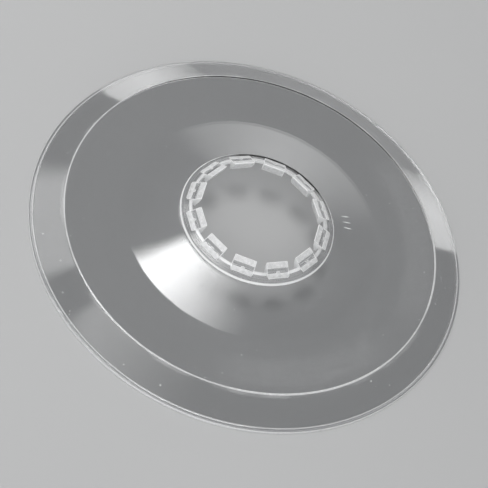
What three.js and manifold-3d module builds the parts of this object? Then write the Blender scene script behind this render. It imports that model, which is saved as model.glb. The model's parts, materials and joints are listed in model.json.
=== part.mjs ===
// Spoke protector disc: the clear moulded guard that sits between a bicycle wheel's spokes and
// its sprockets. A shallow dished disc carries a ring of flexing snap tabs around its bore, and
// the tabs grip the hub. Units are millimetres. The axle is the Z axis, +Z points outboard, and
// the disc rests on z = 0 with the flat foot under its rim.

import * as THREE from 'three';
import { mergeVertices } from 'three/addons/utils/BufferGeometryUtils.js';
import Module from 'manifold-3d';

// Driving dimensions: dished disc
const RIM_RADIUS = 70;
const RIM_EDGE_HEIGHT = 1.1;
const RIM_CHAMFER = 0.25;
const FOOT_WIDTH = 1.6;
const WALL = 1.2;
const STEP_RADIUS = 59.9;
const WEB_TOP = 6.0;
const CONE_OUTER_RADIUS = 41.2;
const CONE_INNER_RADIUS = 24.9;
const CONE_TOP = 10.3;

// Driving dimensions: thickened collar around the bore
const COLLAR_SHOULDER_RADIUS = 24.2;
const COLLAR_SHOULDER_TOP = 11.15;
const COLLAR_SLOPE = THREE.MathUtils.degToRad(20);
const BORE_RADIUS = 21.1;
const BORE_WALL = 1.2;

// Driving dimensions: snap tabs. The top face runs straight from the root up to the tip, and the
// grip face leans outwards from the tip down to the toe, with a slight bend half way.
const TAB_COUNT = 12;
const TAB_TIP_RADIUS = 18.3;
const TAB_TIP_TOP = 14.3;
const TAB_ROOT_RADIUS = 22.95;
const TAB_ROOT_PROUD = 0.15;
const TAB_ROOT_DEPTH = 0.5;
const TAB_ROOT_WIDTH = 7.2;
const TAB_TIP_WIDTH = 6.95;
const TAB_ROOT_ROUNDING = 0.8;
const TAB_TIP_ROUNDING = 0.4;
const TAB_NOSE_ROUNDING = 0.12;
const TAB_TOE_ROUNDING = 0.3;
const GRIP_BEND_RADIUS = 18.8;
const GRIP_BEND_HEIGHT = 12.2;
const TOE_RADIUS = 19.6;
const TOE_BOTTOM = 9.9;
const HEEL_RADIUS = 20.45;

// The thin band where a tab flexes: the floor of a pocket with low lips at its two sides
const FLEX_RADIUS = 20.8;
const FLEX_TOP = 11.6;
const FLEX_THICKNESS = 0.7;
const FLEX_GAP = 0.3;
const POCKET_INNER_RADIUS = 20.2;
const POCKET_OUTER_RADIUS = 21.57;
const POCKET_LIP_WIDTH = 0.4;
const POCKET_LIP_HEIGHT = 0.5;

// Smoothness
const DISC_SEGMENTS = 120;
const FILLET_STEPS = 2;

const wasm = await Module();
wasm.setup();

const CLEAR_PLASTIC = { color: 0xc9cdcf, roughness: 0.12, metalness: 0, transparent: true, opacity: 0.4 };
const FROSTED_PLASTIC = { color: 0xe6e9ea, roughness: 0.5, metalness: 0, transparent: true, opacity: 0.75 };

// A closed geometry becomes a solid once its shared corners are merged.
function toSolid(geometry) {
  const bare = geometry.clone();
  bare.deleteAttribute('normal');
  bare.deleteAttribute('uv');
  const merged = mergeVertices(bare, 1e-4);
  return new wasm.Manifold(new wasm.Mesh({
    numProp: 3,
    vertProperties: new Float32Array(merged.attributes.position.array),
    triVerts: new Uint32Array(merged.index.array),
  }));
}

function toGeometry(solid) {
  const mesh = solid.getMesh();
  const geometry = new THREE.BufferGeometry();
  geometry.setAttribute('position', new THREE.BufferAttribute(mesh.vertProperties, 3));
  geometry.setIndex(new THREE.BufferAttribute(mesh.triVerts, 1));
  geometry.computeVertexNormals();
  return geometry;
}

// Replaces the corner between two straight runs by an arc, as points from one run to the other.
function fillet(before, corner, after, radius) {
  const toBefore = before.clone().sub(corner).normalize();
  const toAfter = after.clone().sub(corner).normalize();
  const halfAngle = Math.acos(toBefore.dot(toAfter)) / 2;
  const centre = toBefore.clone().add(toAfter).normalize().multiplyScalar(radius / Math.sin(halfAngle));
  centre.add(corner);
  const start = toBefore.multiplyScalar(radius / Math.tan(halfAngle)).add(corner).sub(centre);
  const end = toAfter.multiplyScalar(radius / Math.tan(halfAngle)).add(corner).sub(centre);
  const sweep = Math.atan2(start.cross(end), start.dot(end));
  const points = [];
  for (let step = 0; step <= FILLET_STEPS; step += 1) {
    const turned = start.clone().rotateAround(new THREE.Vector2(), sweep * step / FILLET_STEPS);
    points.push(turned.add(centre));
  }
  return points;
}

// Rounds the corners of a closed outline. Each corner is [radius, height, rounding].
function roundedOutline(corners) {
  const places = corners.map(([r, z]) => new THREE.Vector2(r, z));
  const outline = [];
  corners.forEach(([, , rounding], index) => {
    const before = places.at(index - 1);
    const after = places[(index + 1) % places.length];
    if (rounding > 0) {
      outline.push(...fillet(before, places[index], after, rounding));
    } else {
      outline.push(places[index]);
    }
  });
  return outline;
}

// Height of the collar's sloping top face at a radius.
function collarTop(radius) {
  return COLLAR_SHOULDER_TOP + (COLLAR_SHOULDER_RADIUS - radius) * Math.tan(COLLAR_SLOPE);
}

// Section of the disc, counter-clockwise from the rim's outer wall: up the wall, in along the
// outboard face to the bore, down the bore wall and out along the back to the foot.
function discSection() {
  const flangeRun = RIM_RADIUS - RIM_CHAMFER - STEP_RADIUS;
  const flangeSlope = Math.atan2(WEB_TOP - RIM_EDGE_HEIGHT, flangeRun);
  const coneSlope = Math.atan2(CONE_TOP - WEB_TOP, CONE_OUTER_RADIUS - CONE_INNER_RADIUS);
  const footInner = RIM_RADIUS - FOOT_WIDTH;
  const flangeBack = WEB_TOP - (footInner - STEP_RADIUS) * Math.tan(flangeSlope) - WALL / Math.cos(flangeSlope);
  const webBack = WEB_TOP - WALL;
  const stepBackRadius = STEP_RADIUS - WALL * Math.tan(flangeSlope / 2);
  const coneBackRadius = CONE_OUTER_RADIUS - WALL * Math.tan(coneSlope / 2);
  const coneBackTop = CONE_TOP - WALL / Math.cos(coneSlope);
  return roundedOutline([
    [RIM_RADIUS, RIM_CHAMFER, 0],
    [RIM_RADIUS, RIM_EDGE_HEIGHT - RIM_CHAMFER, 0],
    [RIM_RADIUS - RIM_CHAMFER, RIM_EDGE_HEIGHT, 0],
    [STEP_RADIUS, WEB_TOP, 2],
    [CONE_OUTER_RADIUS, WEB_TOP, 3],
    [CONE_INNER_RADIUS, CONE_TOP, 0.3],
    [COLLAR_SHOULDER_RADIUS, COLLAR_SHOULDER_TOP, 0.3],
    [BORE_RADIUS, collarTop(BORE_RADIUS), 0],
    [BORE_RADIUS, collarTop(BORE_RADIUS) - BORE_WALL, 0],
    [CONE_INNER_RADIUS, coneBackTop, 0],
    [coneBackRadius, webBack, 0],
    [stepBackRadius, webBack, 0],
    [footInner, flangeBack, 0],
    [footInner, 0, 0],
    [RIM_RADIUS - RIM_CHAMFER, 0, 0],
  ]);
}

function dishedDisc() {
  const section = discSection();
  section.push(section[0].clone());
  const geometry = new THREE.LatheGeometry(section, DISC_SEGMENTS);
  geometry.rotateX(Math.PI / 2);
  return toSolid(geometry);
}

// Seen from above, a tab pointing at the axis from +X: wider at its root than at its tip.
function tabPlan() {
  const outline = roundedOutline([
    [TAB_ROOT_RADIUS, -TAB_ROOT_WIDTH / 2, TAB_ROOT_ROUNDING],
    [TAB_ROOT_RADIUS, TAB_ROOT_WIDTH / 2, TAB_ROOT_ROUNDING],
    [TAB_TIP_RADIUS, TAB_TIP_WIDTH / 2, TAB_TIP_ROUNDING],
    [TAB_TIP_RADIUS, -TAB_TIP_WIDTH / 2, TAB_TIP_ROUNDING],
  ]);
  const shape = new THREE.Shape(outline);
  return toSolid(new THREE.ExtrudeGeometry(shape, { depth: TAB_TIP_TOP + 1, bevelEnabled: false }));
}

// A block across the tab's width, from an outline of [radius, height] corners.
function acrossBlock(outline, width) {
  const geometry = new THREE.ExtrudeGeometry(new THREE.Shape(outline), { depth: width, bevelEnabled: false });
  geometry.translate(0, 0, -width / 2);
  geometry.rotateX(Math.PI / 2);
  return toSolid(geometry);
}

// Height of a tab's sloping top face at a radius.
function tabTop(radius) {
  const rootTop = collarTop(TAB_ROOT_RADIUS) + TAB_ROOT_PROUD;
  const rise = (TAB_TIP_TOP - rootTop) / (TAB_ROOT_RADIUS - TAB_TIP_RADIUS);
  return rootTop + rise * (TAB_ROOT_RADIUS - radius);
}

// Side view of a whole tab, with its pocket cut down to the tops of the lips.
function tabSection() {
  const lipTop = FLEX_TOP + POCKET_LIP_HEIGHT;
  const flexBottom = FLEX_TOP - FLEX_THICKNESS;
  const insideCollar = BORE_RADIUS + 0.5;
  return roundedOutline([
    [TAB_ROOT_RADIUS, tabTop(TAB_ROOT_RADIUS) - TAB_ROOT_DEPTH, 0],
    [TAB_ROOT_RADIUS, tabTop(TAB_ROOT_RADIUS), 0],
    [POCKET_OUTER_RADIUS, tabTop(POCKET_OUTER_RADIUS), 0],
    [POCKET_OUTER_RADIUS, lipTop, 0],
    [POCKET_INNER_RADIUS, lipTop, 0],
    [POCKET_INNER_RADIUS, tabTop(POCKET_INNER_RADIUS), 0],
    [TAB_TIP_RADIUS, TAB_TIP_TOP, TAB_NOSE_ROUNDING],
    [GRIP_BEND_RADIUS, GRIP_BEND_HEIGHT, 0],
    [TOE_RADIUS, TOE_BOTTOM, TAB_TOE_ROUNDING],
    [HEEL_RADIUS, TOE_BOTTOM, TAB_TOE_ROUNDING],
    [HEEL_RADIUS, flexBottom, 0],
    [insideCollar, flexBottom, 0],
  ]);
}

function rectangle(fromRadius, toRadius, bottom, top) {
  return [
    new THREE.Vector2(fromRadius, bottom),
    new THREE.Vector2(toRadius, bottom),
    new THREE.Vector2(toRadius, top),
    new THREE.Vector2(fromRadius, top),
  ];
}

// The stretch of a tab between two radii, with its share of the flexing pocket cut out.
function tabStretch(fromRadius, toRadius) {
  const pocketWidth = (TAB_ROOT_WIDTH + TAB_TIP_WIDTH) / 2 - 2 * POCKET_LIP_WIDTH;
  const pocketTop = TAB_TIP_TOP;
  const pocket = rectangle(POCKET_INNER_RADIUS, POCKET_OUTER_RADIUS, FLEX_TOP, pocketTop);
  const stretch = rectangle(fromRadius, toRadius, 0, TAB_TIP_TOP + 1);
  return tabPlan()
    .intersect(acrossBlock(tabSection(), TAB_ROOT_WIDTH + 2))
    .intersect(acrossBlock(stretch, TAB_ROOT_WIDTH + 2))
    .subtract(acrossBlock(pocket, pocketWidth));
}

function tabAngle(index) {
  return 360 * index / TAB_COUNT;
}

// The dished disc with every tab's root pad moulded onto its collar.
function guardDisc() {
  const root = tabStretch(FLEX_RADIUS + FLEX_GAP / 2, TAB_ROOT_RADIUS + 1);
  let disc = dishedDisc();
  for (let index = 0; index < TAB_COUNT; index += 1) {
    disc = disc.add(root.rotate([0, 0, tabAngle(index)]));
  }
  const mesh = new THREE.Mesh(toGeometry(disc), new THREE.MeshStandardMaterial(CLEAR_PLASTIC));
  mesh.name = 'guard_disc';
  return mesh;
}

// The moving head of one tab, turned about the axle to its place.
function snapTab(index, geometry) {
  const mesh = new THREE.Mesh(geometry, new THREE.MeshStandardMaterial(FROSTED_PLASTIC));
  mesh.name = `snap_tab_${String(index + 1).padStart(2, '0')}`;
  mesh.rotation.z = THREE.MathUtils.degToRad(tabAngle(index));
  return mesh;
}

const group = new THREE.Group();
group.add(guardDisc());

const headGeometry = toGeometry(tabStretch(TAB_TIP_RADIUS - 1, FLEX_RADIUS - FLEX_GAP / 2));
for (let index = 0; index < TAB_COUNT; index += 1) {
  group.add(snapTab(index, headGeometry));
}

export default group;
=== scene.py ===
"""Looks for the spoke protector disc: a clear moulded disc with twelve frosted snap tabs.

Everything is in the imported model's frame, in metres. The axle is the Z axis, the disc rests on
z = 0, and snap tab 01 points at the axle from +X. The disc's section and the tabs' shape are given
in millimetres as named values, and the sizes that the CAD model fixes are read from the frame.
"""

import json
import math

import bpy
import numpy as np
from mathutils import Matrix, Vector


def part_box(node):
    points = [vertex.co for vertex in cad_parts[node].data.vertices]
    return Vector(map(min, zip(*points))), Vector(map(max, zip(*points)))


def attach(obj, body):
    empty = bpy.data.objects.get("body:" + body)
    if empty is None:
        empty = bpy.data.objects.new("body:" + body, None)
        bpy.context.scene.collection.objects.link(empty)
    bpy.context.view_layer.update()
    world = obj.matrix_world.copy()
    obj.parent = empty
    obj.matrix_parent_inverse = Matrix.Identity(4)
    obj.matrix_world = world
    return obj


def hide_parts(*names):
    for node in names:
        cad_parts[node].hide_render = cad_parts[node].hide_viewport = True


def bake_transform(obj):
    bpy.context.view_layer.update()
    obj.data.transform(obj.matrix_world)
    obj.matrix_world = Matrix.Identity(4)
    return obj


MM = 0.001

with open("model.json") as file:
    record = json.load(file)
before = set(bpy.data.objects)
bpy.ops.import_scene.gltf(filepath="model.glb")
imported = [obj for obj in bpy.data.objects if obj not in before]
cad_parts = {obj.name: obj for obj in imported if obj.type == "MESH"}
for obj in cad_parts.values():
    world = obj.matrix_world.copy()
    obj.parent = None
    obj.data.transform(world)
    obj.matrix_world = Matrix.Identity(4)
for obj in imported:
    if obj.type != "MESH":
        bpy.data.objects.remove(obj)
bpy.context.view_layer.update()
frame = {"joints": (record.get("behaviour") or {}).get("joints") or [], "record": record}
record = frame["record"]
mounts = {mount["name"]: mount for mount in record["mounts"]}
hinges = [joint for joint in frame["joints"] if joint["type"] == "hinge"]

# What the frame fixes, in millimetres
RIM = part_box("guard_disc")[1].x / MM
FOOT_MIDDLE = mounts["rim_rest"]["pos_m"][0] / MM
WEB_BACK = mounts["web_back"]["pos_m"][2] / MM
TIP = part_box("snap_tab_01")[0].x / MM

# Section of the disc, in millimetres
WALL = 1.2
RIM_EDGE = 1.1
FOOT_INNER = 2 * FOOT_MIDDLE - RIM + 0.2
STEP = 59.9
WEB_TOP = WEB_BACK + WALL
CONE_FOOT = 41.2
CONE_END = 24.9
CONE_TOP = 10.3
CONE_MIDDLE = (CONE_FOOT + CONE_END) / 2
CONE_SAG = 0.09
CONE_BEND = 320
SHOULDER = 24.2
SHOULDER_TOP = 11.15
COLLAR_SLOPE = math.radians(20)
BORE = 21.1
BORE_WALL = 1.2

# Finish of the collar's top: how far out the frosted ring reaches, and faint turned lines, each
# as its radius and how frosted it is
FROSTED_RING = 22.3
TURNED_LINES = ((22.8, 0.12), (23.4, 0.2))

# Snap tabs, in millimetres. A straight top face climbs from the root to the tip, a ridged grip
# face runs down from the tip to the toe, and a pocket behind the head leaves a thin blade to flex.
TIP_TOP = 14.3
ROOT = 22.95
ROOT_WIDTH = 7.2
TIP_WIDTH = 6.95
ROOT_ROUNDING = 0.55
TIP_ROUNDING = 0.45
PROUD = 0.15
GRIP_BEND = 18.8
GRIP_BEND_HEIGHT = 12.2
TOE = 19.6
TOE_BOTTOM = 9.9
HEEL = 20.45
POCKET_OUTER = 21.57
POCKET_INNER = 20.2
POCKET_FLOOR = 11.75
FLOOR_PROUD = 0.03
LIP_WIDTH = 0.22
LIP_DROP = 0.2
LIP_FALL = 0.1
BLADE_BOTTOM = 11.05
ROOT_DEPTH = 0.45
EDGE_ROUNDING = 0.05
# How far in from a tab's side, in millimetres, the side edge gets a painted highlight
HIGHLIT_EDGE = 0.13
BOSS_RADIUS = 0.6
STRIATIONS = 5
STRIATION_DEPTH = 0.035
GRIP_RIDGES = 2
GRIP_RIDGE_DEPTH = 0.07

# Corners of a tab's section with more rounding than this, in millimetres, get a painted highlight
HIGHLIT_ROUNDING = 0.055

# Generic moulded marks on the cone, in millimetres and degrees
MARK_COUNT = 3
MARK_LENGTH = 3.0
MARK_WIDTH = 0.45
MARK_HEIGHT = 0.14
MARK_PLACE = 30.0
MARK_AZIMUTH = 24
MARK_PITCH = 4.2

PLASTIC_IOR = 1.5

# Scuffed stretches of the web: from radius, to radius, from azimuth, to azimuth. Along their azimuths
# the step's crest also gets a broader painted highlight
WORN_ARCS = ((50, 56, -80, -35), (52, 57.5, -5, 45))

# Mesh: sections round the disc, steps in a rounded corner, and in millimetres the longest run
# between points and the shortest length that a corner takes from the runs beside it
SEGMENTS = 384
ARC_STEPS = 6
LONGEST_RUN = 1.5
SHORTEST_REACH = 0.01

# The camera: its distance in metres, its tilt from straight above, its turn about the axle, its
# roll, its sideways and downward shift in metres, the height it aims at, and its lens in millimetres
VIEW_DISTANCE = 0.6
VIEW_TILT = math.radians(37.8)
VIEW_TURN = math.radians(-6.24)
VIEW_ROLL = math.radians(25.3)
VIEW_SHIFT = Vector((-0.0004, 0.0029))
AIM_HEIGHT = 0.6 * MM
LENS = 141

# Studio light, in the scene's own units, and half the floor's side and its depth in metres
AMBIENT = 0.25
FRONT_GLOW = 1.2
FLOOR_HALF = 0.9
FLOOR_DROP = 0.00002


# ---------------------------------------------------------------- meshes


def corner_arc(before, corner, after, rounding, steps=ARC_STEPS):
    """Points of the arc that replaces the corner between two straight runs, or of a short straight
    piece where the corner hardly turns."""
    to_before = (before - corner).normalized()
    to_after = (after - corner).normalized()
    half = to_before.angle(to_after) / 2
    if rounding / math.tan(half) < SHORTEST_REACH:
        start = corner + to_before * SHORTEST_REACH
        end = corner + to_after * SHORTEST_REACH
        return [start.lerp(end, step / steps) for step in range(steps + 1)]
    centre = corner + (to_before + to_after).normalized() * (rounding / math.sin(half))
    reach = rounding / math.tan(half)
    start = corner + to_before * reach - centre
    end = corner + to_after * reach - centre
    sweep = math.atan2(start.x * end.y - start.y * end.x, start.dot(end))
    return [centre + Matrix.Rotation(sweep * step / steps, 2) @ start for step in range(steps + 1)]


def rounded(corners):
    """Closed outline from corners [r, z, rounding], with an arc in place of each corner."""
    places = [Vector(corner[:2]) for corner in corners]
    outline = []
    for index, corner in enumerate(corners):
        after = places[(index + 1) % len(places)]
        outline += corner_arc(places[index - 1], places[index], after, corner[2])
    return outline


def with_runs_split(outline, longest=LONGEST_RUN, near=0.12):
    """Adds points along the straight runs, with one close to each end so that shading stays flat."""
    points = []
    for index, start in enumerate(outline):
        end = outline[(index + 1) % len(outline)]
        run = (end - start).length
        points.append(start)
        if run < 4 * near:
            continue
        points.append(start.lerp(end, near / run))
        pieces = max(1, round((run - 2 * near) / longest))
        for piece in range(1, pieces):
            points.append(start.lerp(end, (near + (run - 2 * near) * piece / pieces) / run))
        points.append(start.lerp(end, 1 - near / run))
    return points


def collar_top(r):
    """Height of the collar's sloping top face."""
    return SHOULDER_TOP + (SHOULDER - r) * math.tan(COLLAR_SLOPE)


def cone_top(r):
    """Height of the cone's outboard face."""
    return CONE_TOP - (r - CONE_END) * (CONE_TOP - WEB_TOP) / (CONE_FOOT - CONE_END)


def disc_section():
    """The disc's outline from the rim's outer wall, in along the outboard face and back behind."""
    flange_slope = math.atan2(WEB_TOP - RIM_EDGE, RIM - 0.25 - STEP)
    cone_slope = math.atan2(CONE_TOP - WEB_TOP, CONE_FOOT - CONE_END)
    cone_wall = WALL / math.cos(cone_slope)
    flange_back = WEB_TOP - (FOOT_INNER - STEP) * math.tan(flange_slope) - WALL / math.cos(flange_slope)
    return rounded([
        [RIM, RIM_EDGE, 0.4],
        [RIM - 0.45, RIM_EDGE + 0.1, 0.3],
        [STEP, WEB_TOP, 1.2],
        [CONE_FOOT, WEB_TOP, 0.8],
        [CONE_MIDDLE, cone_top(CONE_MIDDLE) - CONE_SAG, CONE_BEND],
        [CONE_END, CONE_TOP, 0.35],
        [SHOULDER, SHOULDER_TOP, 0.35],
        [BORE, collar_top(BORE), 0.25],
        [BORE, collar_top(BORE) - BORE_WALL, 0.2],
        [CONE_END, CONE_TOP - cone_wall, 1.5],
        [CONE_MIDDLE, cone_top(CONE_MIDDLE) - CONE_SAG - cone_wall, CONE_BEND],
        [CONE_FOOT - WALL * math.tan(cone_slope / 2), WEB_BACK, 1.5],
        [STEP - WALL * math.tan(flange_slope / 2), WEB_BACK, 1.5],
        [FOOT_INNER, flange_back, 0.15],
        [FOOT_INNER, 0, 0.12],
        [RIM, 0, 0.3],
    ])


def mesh_object(name, vertices, faces):
    """A smooth-shaded mesh object from vertices in millimetres."""
    mesh = bpy.data.meshes.new(name)
    mesh.from_pydata([tuple(float(c) * MM for c in v) for v in vertices], [], faces)
    mesh.update()
    mesh.shade_smooth()
    piece = bpy.data.objects.new(name, mesh)
    bpy.context.scene.collection.objects.link(piece)
    return piece


def revolved(name, outline):
    """A closed ring from an outline that runs counter-clockwise in the (r, z) plane."""
    count = len(outline)
    vertices = []
    for segment in range(SEGMENTS):
        angle = 2 * math.pi * segment / SEGMENTS
        vertices += [(p.x * math.cos(angle), p.x * math.sin(angle), p.y) for p in outline]
    faces = []
    for segment in range(SEGMENTS):
        here = segment * count
        there = (segment + 1) % SEGMENTS * count
        for step in range(count):
            after = (step + 1) % count
            faces.append((here + step, there + step, there + after, here + after))
    return mesh_object(name, vertices, faces)


def smooth_step(value):
    """0 below 0, 1 above 1 and an S-curve between."""
    value = min(1.0, max(0.0, value))
    return value * value * (3 - 2 * value)


def round_over(distance):
    """How far a rounded edge lies below the face, at a distance in from the outline."""
    if distance >= EDGE_ROUNDING:
        return 0.0
    return EDGE_ROUNDING - math.sqrt(EDGE_ROUNDING**2 - (EDGE_ROUNDING - distance) ** 2)


def tab_half_width(r):
    """Half of the tab's width at a radius, with its corners rounded in plan."""
    share = (r - TIP) / (ROOT - TIP)
    half = (TIP_WIDTH + (ROOT_WIDTH - TIP_WIDTH) * share) / 2
    for end, rounding in ((TIP, TIP_ROUNDING), (ROOT, ROOT_ROUNDING)):
        distance = abs(r - end)
        if distance < rounding:
            half -= rounding - math.sqrt(rounding**2 - (rounding - distance) ** 2)
    return half


def tab_top(r):
    """Height of a tab's straight top face."""
    root_top = collar_top(ROOT) + PROUD
    return root_top + (TIP_TOP - root_top) * (ROOT - r) / (ROOT - TIP)


def grooved(start, end, parts, grooves, depth):
    """Points between two ends, with shallow grooves pressed in along the way."""
    along = end - start
    inward = Vector((-along.y, along.x)).normalized()
    points = []
    for part in range(1, parts):
        share = part / parts
        dip = depth * (0.5 - 0.5 * math.cos(2 * math.pi * grooves * share))
        points.append(start + along * share + inward * dip)
    return points


def tab_outline(y, from_side):
    """Closed section of a tab at a place y off its middle and from_side in from its edge, and for
    each point 1 where it lies on a rounded corner with a painted highlight, else 0."""
    wall = POCKET_OUTER - math.sqrt(max(0.0, BOSS_RADIUS**2 - y**2))
    groove = min(BORE - 0.04, wall - 0.14)
    lip = 1 - smooth_step((from_side - LIP_WIDTH) / LIP_FALL)

    def sunk(r, z):
        return z + (tab_top(r) - LIP_DROP - z) * lip

    # Each corner is [radius, height, rounding] and the run after it: parts, grooves, depth
    corners = [
        [ROOT, tab_top(ROOT), 0.1, 4, 0, 0],
        [wall, tab_top(wall), 0.06, 2, 0, 0],
        [wall, sunk(wall, collar_top(wall) + FLOOR_PROUD), 0.04, 3, 0, 0],
        [groove, sunk(groove, collar_top(groove) + FLOOR_PROUD), 0.05, 2, 0, 0],
        [groove - 0.15, sunk(groove - 0.15, POCKET_FLOOR), 0.05, 3, 0, 0],
        [POCKET_INNER, sunk(POCKET_INNER, POCKET_FLOOR), 0.04, 2, 0, 0],
        [POCKET_INNER, tab_top(POCKET_INNER), 0.09, 8 * STRIATIONS, STRIATIONS, STRIATION_DEPTH],
        [TIP, TIP_TOP, 0.18, 10 * GRIP_RIDGES, GRIP_RIDGES, GRIP_RIDGE_DEPTH],
        [GRIP_BEND, GRIP_BEND_HEIGHT, 0.3, 10 * GRIP_RIDGES, GRIP_RIDGES, GRIP_RIDGE_DEPTH],
        [TOE, TOE_BOTTOM, 0.3, 2, 0, 0],
        [HEEL, TOE_BOTTOM, 0.3, 2, 0, 0],
        [HEEL, BLADE_BOTTOM, 0.12, 4, 0, 0],
        [BORE + 0.15, BLADE_BOTTOM, 0.5, 3, 0, 0],
        [ROOT, tab_top(ROOT) - ROOT_DEPTH, 0.09, 2, 0, 0],
    ]
    places = [Vector(corner[:2]) for corner in corners]
    arcs = []
    for index, corner in enumerate(corners):
        after = places[(index + 1) % len(places)]
        arcs.append(corner_arc(places[index - 1], places[index], after, corner[2], steps=4))
    outline, edges = [], []
    for index, arc in enumerate(arcs):
        _, _, rounding, parts, grooves, depth = corners[index]
        outline += arc + grooved(arc[-1], arcs[(index + 1) % len(arcs)][0], parts, grooves, depth)
        edges += [1.0 if rounding > HIGHLIT_ROUNDING else 0.0] * len(arc) + [0.0] * (parts - 1)
    return outline, edges


def moved_in(outline, distance):
    """A counter-clockwise outline with every point moved inwards."""
    moved = []
    for index, here in enumerate(outline):
        along = outline[(index + 1) % len(outline)] - outline[index - 1]
        moved.append(here + Vector((-along.y, along.x)).normalized() * distance)
    return moved


def spaced(low, high, pitch):
    """Evenly spaced values from low to high, both included."""
    count = max(1, math.ceil((high - low) / pitch - 1e-9))
    return [low + (high - low) * step / count for step in range(count + 1)]


def tab_mesh():
    """Closed mesh of one tab pointing at the axle from +X: vertices in millimetres, faces, and for
    each vertex 1 where it lies on an edge with a painted highlight, else 0. Sections stand side by
    side across the tab, close together at its edges and its boss."""
    edge = [EDGE_ROUNDING * share for share in (0, 0.08, 0.3, 0.6, 1)] + [HIGHLIT_EDGE]
    edge += spaced(LIP_WIDTH, LIP_WIDTH + LIP_FALL, 0.05) + [0.6]
    middle = spaced(-2.0, -0.7, 0.65)[:-1] + spaced(-0.64, 0.64, 0.08) + spaced(0.7, 2.0, 0.65)[1:]
    vertices, wear_and_edge_highlight = [], []
    for side, places in ((-1, edge), (0, middle), (1, edge[::-1])):
        for place in places:
            if side == 0:
                outline, edges = tab_outline(place, ROOT_WIDTH)
                vertices += [(p.x, place, p.y) for p in outline]
            else:
                outline, edges = tab_outline(ROOT_WIDTH, place)
                outline = moved_in(outline, round_over(place))
                vertices += [(p.x, side * (tab_half_width(p.x) - place), p.y) for p in outline]
                if place <= HIGHLIT_EDGE:
                    edges = [1.0] * len(outline)
            wear_and_edge_highlight += edges
    count = len(outline)
    sections = len(vertices) // count
    faces = [tuple(range(count)), tuple(range(len(vertices) - 1, len(vertices) - count - 1, -1))]
    for section in range(sections - 1):
        here, there = section * count, (section + 1) * count
        for step in range(count):
            after = (step + 1) % count
            faces.append((here + step, there + step, there + after, here + after))
    return vertices, faces, wear_and_edge_highlight


def make_tabs(material):
    """Twelve tabs, one at each hinge joint, turned into place round the axle in place of the imported
    tabs.
    """
    vertices, faces, wear_and_edge_highlight = tab_mesh()
    local = np.array(vertices)
    for joint in hinges:
        x, y, _ = joint["pos_m"]
        angle = math.atan2(y, x)
        turn = np.array(Matrix.Rotation(angle, 3, "Z"))
        piece = mesh_object(joint["child"].replace("tab", "clip"), local @ turn.T, faces)
        keep_place(piece, local)
        # Per-vertex mask of the edges that get a painted highlight
        piece.data.attributes.new("wear_and_edge_highlight", "FLOAT", "POINT").data.foreach_set("value", wear_and_edge_highlight)
        piece.data.materials.append(material)
        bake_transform(piece)
        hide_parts("snap_" + joint["child"])


def make_marks(material):
    """A row of small raised ticks on the cone, in place of moulded lettering."""
    slope = math.atan2(CONE_TOP - WEB_TOP, CONE_FOOT - CONE_END)
    rings, around = 6, 32
    for index in range(MARK_COUNT):
        azimuth = math.radians(MARK_AZIMUTH + MARK_PITCH * (index - (MARK_COUNT - 1) / 2))
        centre = Vector((MARK_PLACE, 0, cone_top(MARK_PLACE) - 0.04))
        turn = Matrix.Rotation(azimuth, 3, "Z")
        tilt = Matrix.Rotation(slope, 3, "Y")
        vertices = [turn @ (centre + tilt @ Vector((0, 0, MARK_HEIGHT)))]
        local = [Vector((0, 0, MARK_HEIGHT))]
        for ring in range(1, rings + 1):
            reach = ring / rings
            for step in range(around):
                bearing = 2 * math.pi * step / around
                spread = math.sin(reach * math.pi / 2) / 2
                point = Vector((
                    MARK_LENGTH * spread * math.cos(bearing),
                    MARK_WIDTH * spread * math.sin(bearing),
                    MARK_HEIGHT * math.cos(reach * math.pi / 2),
                ))
                local.append(point)
                vertices.append(turn @ (centre + tilt @ point))
        faces = [(0, 1 + step, 1 + (step + 1) % around) for step in range(around)]
        for ring in range(rings - 1):
            for step in range(around):
                a, b = 1 + ring * around + step, 1 + ring * around + (step + 1) % around
                faces.append((a, a + around, b + around, b))
        last = 1 + (rings - 1) * around
        faces.append(tuple(range(last + around - 1, last - 1, -1)))
        piece = mesh_object(f"mould_tick_{index + 1}", vertices, faces)
        keep_place(piece, local)
        piece.data.materials.append(material)
        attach(piece, "disc")


def keep_place(piece, places):
    """Stores each vertex's place before the piece is turned, so that the finish turns with it."""
    attribute = piece.data.attributes.new("place", "FLOAT_VECTOR", "POINT")
    attribute.data.foreach_set("vector", np.asarray(places, np.float32).ravel())


# ---------------------------------------------------------------- materials


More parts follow.
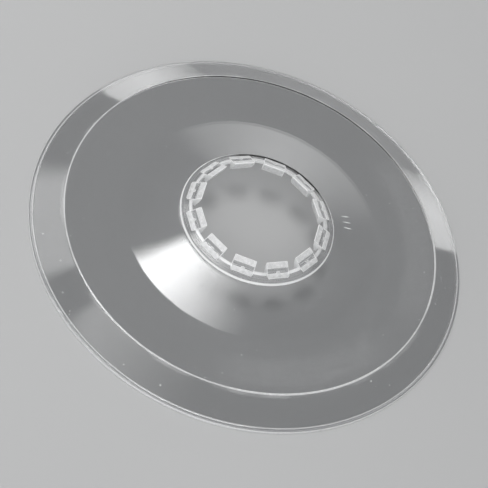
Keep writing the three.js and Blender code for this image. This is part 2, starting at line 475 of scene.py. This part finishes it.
class Nodes:
    """Builds a node tree. Numbers and sockets mix freely as inputs."""

    def __init__(self, tree):
        self.tree = tree

    def node(self, kind, inputs=None, **settings):
        made = self.tree.nodes.new(kind)
        for key, value in settings.items():
            setattr(made, key, value)
        for key, value in (inputs or {}).items():
            if isinstance(value, bpy.types.NodeSocket):
                self.tree.links.new(value, made.inputs[key])
            else:
                made.inputs[key].default_value = value
        return made

    def maths(self, operation, a, b=0.0):
        return self.node("ShaderNodeMath", {0: a, 1: b}, operation=operation).outputs[0]

    def add(self, *values):
        total = values[0]
        for value in values[1:]:
            total = self.maths("ADD", total, value)
        return total

    def times(self, *values):
        total = values[0]
        for value in values[1:]:
            total = self.maths("MULTIPLY", total, value)
        return total

    def ramp(self, value, low, high, start=0.0, end=1.0):
        """value between low and high becomes start to end, held beyond them."""
        inputs = {"Value": value, "From Min": low, "From Max": high, "To Min": start, "To Max": end}
        return self.node("ShaderNodeMapRange", inputs, clamp=True).outputs["Result"]

    def band(self, value, low, high, soft):
        """1 where value lies between low and high, fading over soft."""
        rise = self.ramp(value, low - soft, low)
        fall = self.ramp(value, high, high + soft, 1.0, 0.0)
        return self.times(rise, fall)

    def noise(self, vector, scale, detail=3.0, roughness=0.5):
        inputs = {"Vector": vector, "Scale": scale, "Detail": detail, "Roughness": roughness}
        return self.node("ShaderNodeTexNoise", inputs).outputs["Fac"]

    def mix_colour(self, factor, a, b):
        mix = self.node("ShaderNodeMix", {"Factor": factor}, data_type="RGBA")
        for socket, value in ((mix.inputs[6], a), (mix.inputs[7], b)):
            if isinstance(value, bpy.types.NodeSocket):
                self.tree.links.new(value, socket)
            else:
                socket.default_value = value
        return mix.outputs[2]

    def bump(self, height, distance, strength=1.0):
        inputs = {"Height": height, "Distance": distance, "Strength": strength}
        return self.node("ShaderNodeBump", inputs).outputs["Normal"]

    def soft(self, value, edge, inside):
        """0 at edge and 1 from inside on, with an S-curve between."""
        inputs = {"Value": value, "From Min": edge, "From Max": inside}
        made = self.node("ShaderNodeMapRange", inputs, interpolation_type="SMOOTHSTEP")
        return made.outputs["Result"]


class Finish(Nodes):
    """Builds the nodes of one material."""

    def __init__(self, name):
        self.material = bpy.data.materials.new(name)
        self.material.use_nodes = True
        super().__init__(self.material.node_tree)
        self.tree.nodes.clear()

    def milky(self, colour, normal):
        """Frosted skin: it scatters light back, and lets some through in every direction."""
        surface = {"Base Color": colour, "Roughness": 0.45, "Normal": normal}
        skin = self.node("ShaderNodeBsdfPrincipled", surface)
        through = self.node("ShaderNodeBsdfTranslucent", {"Color": colour, "Normal": normal})
        mixed = self.node("ShaderNodeMixShader", {0: 0.22, 1: skin.outputs[0], 2: through.outputs[0]})
        return mixed.outputs[0]

    def clear_for_lamps(self, shader, tint):
        """Lets lamps shine through the surface, so that it throws a clear plastic's pale shadow."""
        path = self.node("ShaderNodeLightPath")
        through = self.node("ShaderNodeBsdfTransparent", {"Color": tint})
        for_lamps = path.outputs["Is Shadow Ray"]
        mixed = self.node("ShaderNodeMixShader", {0: for_lamps, 1: shader, 2: through.outputs[0]})
        self.node("ShaderNodeOutputMaterial", {"Surface": mixed.outputs[0]})
        return self.material


def grey(value):
    """A neutral grey with a trace of blue."""
    return (value, value * 1.005, value * 1.01, 1.0)


def clear_plastic():
    """Clear plastic: polished cone and flange, scuffed web, frosted bore, and rough riser, step crest
    and rim lines whose whiteness is a painted highlight, in part frosted wear on the crest.
    """
    f = Finish("clear_plastic")
    place = f.node("ShaderNodeTexCoord").outputs["Object"]
    place = f.node("ShaderNodeVectorMath", {0: place, "Scale": 1 / MM}, operation="SCALE").outputs[0]
    x, y, z = f.node("ShaderNodeSeparateXYZ", {0: place}).outputs
    radius = f.maths("SQRT", f.add(f.times(x, x), f.times(y, y)))
    degrees = f.times(f.maths("ARCTAN2", y, x), 180 / math.pi)
    fine = f.noise(place, 2.2, 5.0, 0.7)
    dust = f.noise(place, 0.6, 3.0, 0.6)
    cloud = f.noise(place, 0.09, 4.0, 0.6)

    outboard = f.ramp(z, WEB_BACK + 0.3, WEB_BACK + 0.9)
    web = f.times(f.band(radius, CONE_FOOT + 0.2, STEP - 0.4, 0.4), outboard)
    wear_and_edge_highlight, crest_highlight_bearings = 0.0, 0.0
    for low, high, start, end in WORN_ARCS:
        along = f.band(degrees, start, end, 12)
        wear_and_edge_highlight = f.maths("MAXIMUM", wear_and_edge_highlight, f.times(along, f.band(radius, low, high, 3.5)))
        crest_highlight_bearings = f.maths("MAXIMUM", crest_highlight_bearings, along)
    # Step crest: a thin white line all round, partly frosted wear and partly a painted highlight, with
    # a broader painted highlight along the scuffed arcs' azimuths
    crest = f.band(radius, STEP - 0.18, STEP + 0.12, 0.14)
    crest = f.times(crest, f.ramp(cloud, 0.3, 0.7, 0.4, 0.85), outboard)
    shoulder = f.band(radius, STEP + 0.3, STEP + 1.0, 0.3)
    shoulder = f.times(shoulder, f.ramp(cloud, 0.45, 0.6, 0.03, 0.22))
    crest = f.maths("MAXIMUM", crest, f.times(shoulder, outboard))
    broad = f.times(f.band(radius, STEP - 0.25, STEP + 0.2, 0.2), crest_highlight_bearings, outboard, 0.7)
    crest = f.maths("MAXIMUM", crest, broad)
    # Rim: its outer edge and a second line just inside it are whitened as painted highlight lines
    rim = f.ramp(radius, RIM - 0.26, RIM - 0.12)
    rim = f.maths("MAXIMUM", rim, f.times(f.band(radius, RIM - 1.2, RIM - 0.95, 0.12), 0.6))
    # Riser: whitened as a painted highlight line
    riser = f.band(radius, SHOULDER + 0.16, CONE_END - 0.14, 0.08)
    riser = f.times(riser, f.ramp(z, CONE_TOP - 0.15, CONE_TOP + 0.05))
    ring = f.ramp(radius, FROSTED_RING, FROSTED_RING - 0.2)
    ring = f.times(ring, f.ramp(z, CONE_TOP + 0.3, CONE_TOP + 0.7))
    ring = f.times(ring, f.ramp(f.noise(place, 0.12, 2.0), 0.35, 0.65, 0.4, 0.85))
    for line, strength in TURNED_LINES:
        turned = f.band(radius, line - 0.04, line + 0.04, 0.06)
        ring = f.maths("MAXIMUM", ring, f.times(turned, strength))
    bore = f.maths("MAXIMUM", f.ramp(radius, BORE + 0.14, BORE + 0.04), ring)

    speck = f.node("ShaderNodeTexVoronoi", {"Vector": place, "Scale": 0.5, "Randomness": 1.0})
    chance = f.node("ShaderNodeSeparateColor", {0: speck.outputs["Color"]}).outputs[0]
    size = f.ramp(chance, 0.6, 1.0, 0.0, 0.13)
    specks = f.times(f.maths("LESS_THAN", speck.outputs["Distance"], size), f.ramp(radius, 26, 30))
    polar = f.node("ShaderNodeCombineXYZ", {0: f.times(degrees, 0.04), 1: f.times(radius, 2.4), 2: z})
    hairs = f.noise(polar.outputs[0], 1.0, 2.0, 0.4)
    scratches = f.ramp(hairs, 0.66, 0.72)

    scuffs = f.times(f.ramp(fine, 0.3, 0.7, 0.5, 1.0), f.ramp(dust, 0.3, 0.7, 0.25, 1.0))
    # The milky share below holds real haze, scuffs, specks and scratches, and the painted highlight
    # lines of the riser, rim and crest
    haze_and_highlight = f.times(web, f.ramp(fine, 0.3, 0.7, 0.0, 0.012))
    haze_and_highlight = f.add(haze_and_highlight, f.times(web, scuffs, 0.012), f.times(wear_and_edge_highlight, outboard, scuffs, 0.085))
    haze_and_highlight = f.add(haze_and_highlight, f.times(specks, 0.5), f.times(scratches, web, 0.02), 0.004)
    # Riser, rim and crest lines are whitened here: painted highlight
    edges = f.maths("MAXIMUM", riser, f.maths("MAXIMUM", f.times(rim, 0.75), crest))
    haze_and_highlight = f.maths("MAXIMUM", haze_and_highlight, f.times(edges, f.ramp(fine, 0.3, 0.7, 0.7, 1.0)))
    haze_and_highlight = f.maths("MINIMUM", f.maths("MAXIMUM", haze_and_highlight, f.times(bore, 0.92)), 1.0)

    frosted = f.maths("MAXIMUM", edges, bore)
    rough = f.add(0.03, f.times(web, f.ramp(fine, 0.3, 0.7, 0.04, 0.12)), f.times(frosted, 0.3))
    waves = f.noise(place, 0.05, 2.0)
    grain = f.add(f.times(waves, 6.0), f.times(fine, web, 0.25))
    grain = f.add(grain, f.times(specks, 0.6), f.times(bore, fine, 0.5))
    normal = f.bump(grain, 0.02 * MM, 0.6)
    clear = f.node("ShaderNodeBsdfPrincipled", {
        "Base Color": grey(0.85), "Roughness": rough, "IOR": PLASTIC_IOR,
        "Transmission Weight": 1.0, "Normal": normal,
    })
    both = f.node("ShaderNodeMixShader", {0: haze_and_highlight, 1: clear.outputs[0], 2: f.milky(grey(0.92), normal)})
    return f.clear_for_lamps(both.outputs[0], grey(0.86))


def frosted_plastic():
    """The same plastic with a frosted skin: whitish and translucent, with a painted highlight along its
    rounded edges, and clearer in its pocket.
    """
    f = Finish("frosted_plastic")
    place = f.node("ShaderNodeAttribute", attribute_name="place").outputs["Vector"]
    r, y, z = f.node("ShaderNodeSeparateXYZ", {0: place}).outputs
    fine = f.noise(place, 3.5, 5.0, 0.7)
    cloud = f.noise(place, 0.9, 3.0, 0.5)
    sideways = f.maths("ABSOLUTE", y)
    face = f.add(tab_top(0), f.times(r, tab_top(1) - tab_top(0)))
    below_top = f.maths("SUBTRACT", face, z)
    pocket = f.times(
        f.band(r, POCKET_INNER - 0.05, POCKET_OUTER + 0.03, 0.04),
        f.ramp(sideways, ROOT_WIDTH / 2 - LIP_WIDTH, ROOT_WIDTH / 2 - LIP_WIDTH - 0.15),
        f.ramp(below_top, 0.12, 0.2), f.ramp(z, BLADE_BOTTOM - 0.15, BLADE_BOTTOM - 0.1),
    )
    wear_and_edge_highlight = f.node("ShaderNodeAttribute", attribute_name="wear_and_edge_highlight").outputs["Fac"]
    skin = f.add(f.ramp(fine, 0.25, 0.75, 0.52, 0.72), f.ramp(cloud, 0.3, 0.7, -0.1, 0.1))
    # Rounded corners and side edges are painted lighter: a painted highlight
    skin = f.maths("MAXIMUM", skin, f.times(wear_and_edge_highlight, f.ramp(fine, 0.3, 0.7, 0.85, 1.0)))
    skin = f.times(skin, f.ramp(pocket, 0.0, 1.0, 1.0, 0.15))
    skin = f.maths("MINIMUM", skin, 0.97)
    grain = f.add(f.times(fine, 0.5), f.times(cloud, 1.5))
    normal = f.bump(grain, 0.03 * MM, 0.8)
    clear = f.node("ShaderNodeBsdfPrincipled", {
        "Base Color": grey(0.86), "Roughness": 0.2, "IOR": PLASTIC_IOR,
        "Transmission Weight": 1.0, "Normal": normal,
    })
    both = f.node("ShaderNodeMixShader", {0: skin, 1: clear.outputs[0], 2: f.milky(grey(0.84), normal)})
    return f.clear_for_lamps(both.outputs[0], grey(0.6))


def floor_paint():
    """A plain pale floor with a barely visible unevenness."""
    f = Finish("floor_paint")
    place = f.node("ShaderNodeTexCoord").outputs["Object"]
    cloud = f.noise(place, 3.0, 4.0)
    colour = f.mix_colour(f.ramp(cloud, 0.3, 0.7), grey(0.38), grey(0.40))
    paint = f.node("ShaderNodeBsdfPrincipled", {"Base Color": colour, "Roughness": 0.75})
    f.node("ShaderNodeOutputMaterial", {"Surface": paint.outputs[0]})
    return f.material


# ---------------------------------------------------------------- stage


def from_camera(azimuth, elevation):
    """Direction by its azimuth from the camera's side, positive to the right, and its elevation."""
    a = math.radians(azimuth) + VIEW_TURN - math.pi / 2
    e = math.radians(elevation)
    return Vector((math.cos(a) * math.cos(e), math.sin(a) * math.cos(e), math.sin(e)))


def softbox(name, azimuth, elevation, distance, width, height, glow, fade=(0.1, 0.1, 0.1, 0.1)):
    """A rectangular light that faces the disc. glow is how bright its face looks, and fade is the
    share of its face over which it dims towards its left, right, lower and upper edges."""
    light = bpy.data.lights.new(name, "AREA")
    light.shape = "RECTANGLE"
    light.size = width
    light.size_y = height
    light.energy = glow * math.pi * width * height
    light.use_nodes = True
    tree = light.node_tree
    tree.nodes.clear()
    f = Nodes(tree)
    across = f.node("ShaderNodeNewGeometry").outputs["Parametric"]
    u, v, _ = f.node("ShaderNodeSeparateXYZ", {0: across}).outputs
    left, right, lower, upper = fade
    face = f.times(
        f.soft(u, 0.0, left), f.soft(u, 1.0, 1.0 - right),
        f.soft(v, 0.0, lower), f.soft(v, 1.0, 1.0 - upper),
    )
    shine = f.node("ShaderNodeEmission", {"Strength": face})
    f.node("ShaderNodeOutputLight", {"Surface": shine.outputs[0]})
    lamp = bpy.data.objects.new(name, light)
    direction = from_camera(azimuth, elevation)
    lamp.location = direction * distance
    lamp.rotation_mode = "QUATERNION"
    lamp.rotation_quaternion = direction.to_track_quat("Z", "Y")
    bpy.context.scene.collection.objects.link(lamp)


def make_world():
    """Even grey all round, and a broad soft glow low down behind the camera."""
    world = bpy.data.worlds.new("studio")
    world.use_nodes = True
    tree = world.node_tree
    tree.nodes.clear()
    f = Nodes(tree)
    way = f.node("ShaderNodeTexCoord").outputs["Generated"]
    front = f.node("ShaderNodeVectorMath", {0: way, 1: from_camera(0, 0)}, operation="DOT_PRODUCT")
    height = f.node("ShaderNodeSeparateXYZ", {0: way}).outputs[2]
    ahead = f.ramp(front.outputs["Value"], -0.3, 0.3)
    low = f.times(f.ramp(height, -0.02, 0.1), f.ramp(height, 0.6, 0.35))
    strength = f.add(AMBIENT, f.times(ahead, low, FRONT_GLOW))
    sky = f.node("ShaderNodeBackground", {"Color": grey(1.0), "Strength": strength})
    f.node("ShaderNodeOutputWorld", {"Surface": sky.outputs[0]})
    bpy.context.scene.world = world


def make_lights():
    """Soft boxes, each by azimuth, elevation, distance, width, height, glow and fade, and the world
    around them. Colours are shown plainly, and caustics are left out."""
    softbox("overhead_box", -128, 78, 0.8, 0.4, 0.5, 13, (0.2, 0.2, 0.22, 0.8))
    softbox("left_box", -108, 38, 0.9, 0.5, 0.42, 2.4, (0.3, 0.12, 0.05, 0.05))
    softbox("top_box", -35, 66, 0.9, 0.7, 0.26, 1.9, (0.12, 0.9, 0.2, 0.2))
    softbox("back_box", -178, 24, 1.0, 1.1, 0.36, 1.5, (0.5, 0.5, 0.15, 0.35))
    softbox("back_left_box", -156, 5, 1.0, 0.4, 0.32, 2.4, (0.7, 0.05, 0.05, 0.2))
    softbox("back_right_box", 157, 5, 1.0, 0.4, 0.32, 2.4, (0.05, 0.7, 0.05, 0.2))
    softbox("front_box", 8, 40, 1.1, 1.0, 0.5, 3.4)
    make_world()
    scene = bpy.context.scene
    scene.view_settings.view_transform = "Standard"
    scene.cycles.caustics_refractive = False
    scene.cycles.caustics_reflective = False


def make_camera():
    """The camera looks down at the disc from 52 degrees above the floor, with its head rolled."""
    right = from_camera(90, 0)
    back = from_camera(0, math.degrees(math.pi / 2 - VIEW_TILT))
    down = right.cross(back)
    centre = Vector((0, 0, AIM_HEIGHT))
    data = bpy.data.cameras.new("camera")
    data.lens = LENS
    camera = bpy.data.objects.new("camera", data)
    bpy.context.scene.collection.objects.link(camera)
    side = right * math.cos(VIEW_ROLL) - down * math.sin(VIEW_ROLL)
    up = -right * math.sin(VIEW_ROLL) - down * math.cos(VIEW_ROLL)
    place = centre + back * VIEW_DISTANCE + right * VIEW_SHIFT.x + down * VIEW_SHIFT.y
    camera.matrix_world = Matrix((
        (side.x, up.x, back.x, place.x),
        (side.y, up.y, back.y, place.y),
        (side.z, up.z, back.z, place.z),
        (0, 0, 0, 1),
    ))
    bpy.context.scene.camera = camera


def make_floor():
    """A plain floor just under the disc."""
    corners = ((-1, -1), (1, -1), (1, 1), (-1, 1))
    vertices = [(x * FLOOR_HALF / MM, y * FLOOR_HALF / MM, -FLOOR_DROP / MM) for x, y in corners]
    floor = mesh_object("floor", vertices, [(0, 1, 2, 3)])
    floor.data.materials.append(floor_paint())


disc = revolved("clear_disc", with_runs_split(disc_section()))
disc.data.materials.append(clear_plastic())
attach(disc, "disc")
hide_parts("guard_disc")
frosted = frosted_plastic()
make_tabs(frosted)
make_marks(frosted)
make_floor()
make_lights()
make_camera()
